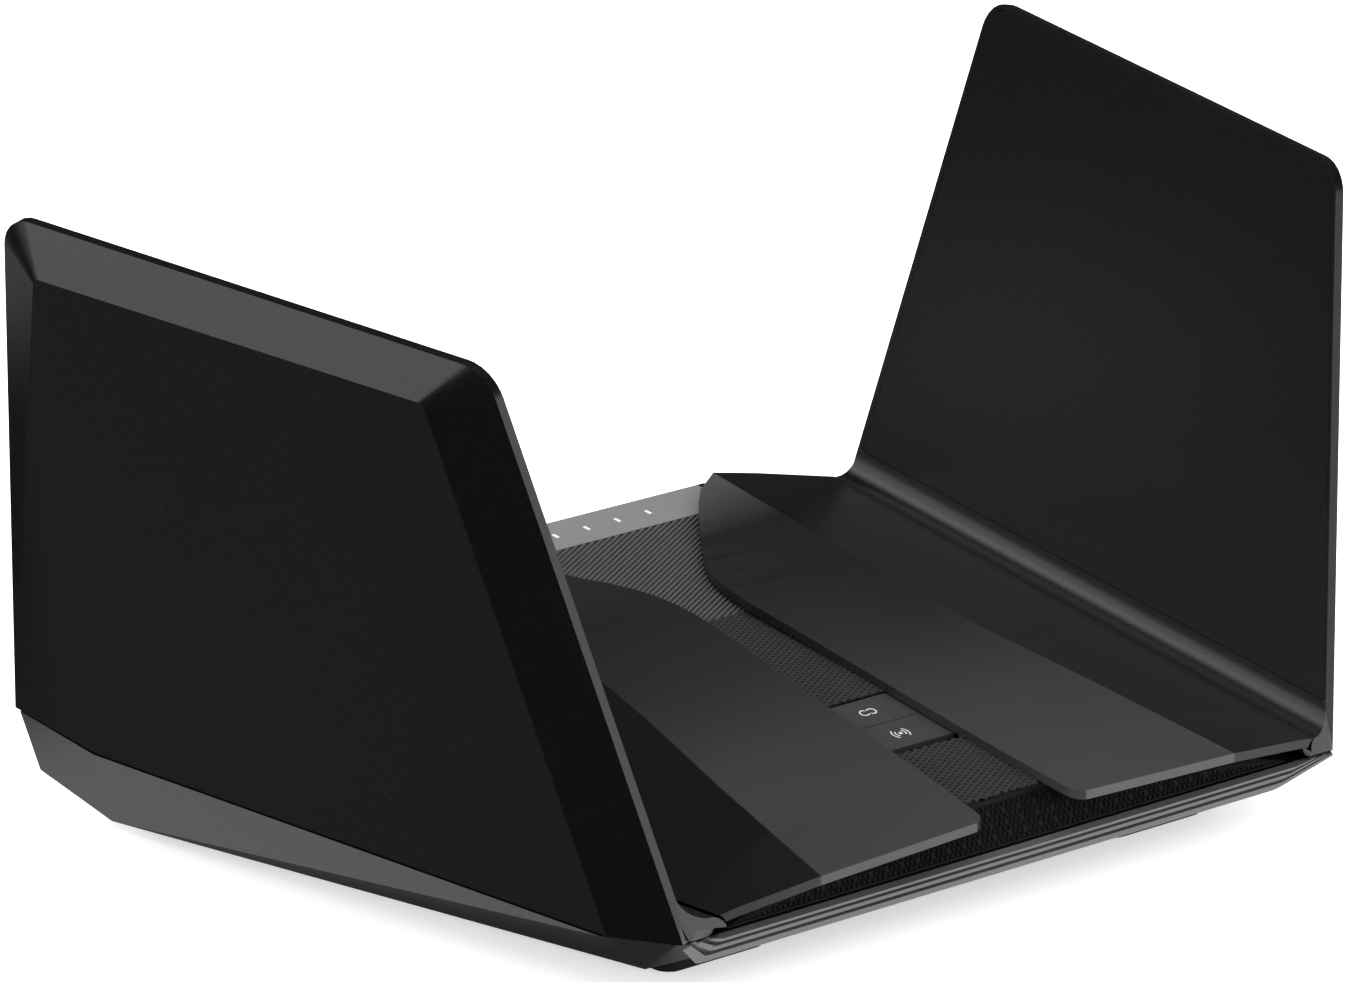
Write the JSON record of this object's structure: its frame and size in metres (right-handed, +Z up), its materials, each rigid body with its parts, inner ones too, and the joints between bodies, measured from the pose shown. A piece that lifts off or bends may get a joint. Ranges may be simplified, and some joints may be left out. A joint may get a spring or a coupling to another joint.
{
  "type": "wireless router",
  "caption": "Low wedge-shaped wireless router with two folding antenna wings, stepped front ridges, a slotted centre channel and a rear socket panel.",
  "frame": {"origin": "on the surface it stands on, under the middle of its box", "axes": "+Z up, -Y towards the front ridges, +X to the right as seen from behind the wings' hinge fronts looking along +Y"},
  "size_m": [0.3174, 0.21, 0.1599],
  "materials": {
    "shell_black": "fine sparkle texture, semi-gloss",
    "cover_black": "fine texture",
    "deck_black": "fine texture, satin",
    "housing_grey": "satin grey",
    "trim_grey": "satin grey",
    "led_bar_grey": "satin light grey",
    "led_white": "translucent white, lit",
    "button_grey": "satin grey",
    "rubber_black": "matte",
    "label_white": "blank printed label",
    "steel": "zinc plated",
    "pcb_green": "solder mask",
    "tin": "tinned",
    "heat_sink_aluminium": "satin",
    "jack_black": "moulded",
    "jack_yellow": "moulded",
    "usb_blue": "moulded",
    "switch_black": "moulded",
    "dome_metal": "plated",
    "cable_black": "coaxial lead jacket"
  },
  "bodies": {
    "base": {"bottom_tray": "shell_black", "upper_housing": "housing_grey", "front_trim": "trim_grey", "led_bar": "led_bar_grey", "led_windows": "led_white", "deck_left": "deck_black", "deck_right": "deck_black", "rear_panel": "shell_black", "feet": "rubber_black", "label_plate": "label_white", "case_screws": "steel", "board_screws": "steel", "main_board": "pcb_green", "rf_shields": "tin", "heat_sink": "heat_sink_aluminium", "control_board": "pcb_green", "dome_switches": "dome_metal", "rear_switches": "switch_black", "network_block": "jack_black", "wan_jack": "jack_yellow", "usb_sockets": "usb_blue", "dc_inlet": "jack_black", "hinge_brackets_left": "steel", "hinge_brackets_right": "steel", "bracket_screws": "steel"},
    "left_wing": {"wing_shell_left": "shell_black", "wing_cover_left": "cover_black", "antenna_board_left": "pcb_green", "hinge_pins_left": "steel", "antenna_leads_left": "cable_black"},
    "right_wing": {"wing_shell_right": "shell_black", "wing_cover_right": "cover_black", "antenna_board_right": "pcb_green", "hinge_pins_right": "steel", "antenna_leads_right": "cable_black"},
    "wps_key": {"wps_button": "button_grey"},
    "wifi_key": {"wifi_button": "button_grey"},
    "power_key": {"power_button": "button_grey"},
    "reset_key": {"reset_button": "button_grey"}
  },
  "joints": [
    {"name": "left_wing_fold", "type": "hinge", "parent": "base", "child": "left_wing", "pos_m": [-0.09451, -0.10165, 0.0209], "axis": [-0.152, 0.9871, 0.0507], "range_deg": [0, 60]},
    {"name": "right_wing_fold", "type": "hinge", "parent": "base", "child": "right_wing", "pos_m": [0.09451, -0.10165, 0.0209], "axis": [-0.152, -0.9871, -0.0507], "range_deg": [0, 60]},
    {"name": "wps_press", "type": "slide", "parent": "base", "child": "wps_key", "axis": [0, 0.1926, -0.9813], "range_m": [0, 0.0006], "stiffness_N_per_m": 600},
    {"name": "wifi_press", "type": "slide", "parent": "base", "child": "wifi_key", "axis": [0, 0.1926, -0.9813], "range_m": [0, 0.0006], "stiffness_N_per_m": 600},
    {"name": "power_press", "type": "slide", "parent": "base", "child": "power_key", "axis": [0, -1, 0], "range_m": [0, 0.001], "stiffness_N_per_m": 600},
    {"name": "reset_press", "type": "slide", "parent": "base", "child": "reset_key", "axis": [0, -1, 0], "range_m": [0, 0.0008], "stiffness_N_per_m": 300}
  ]
}
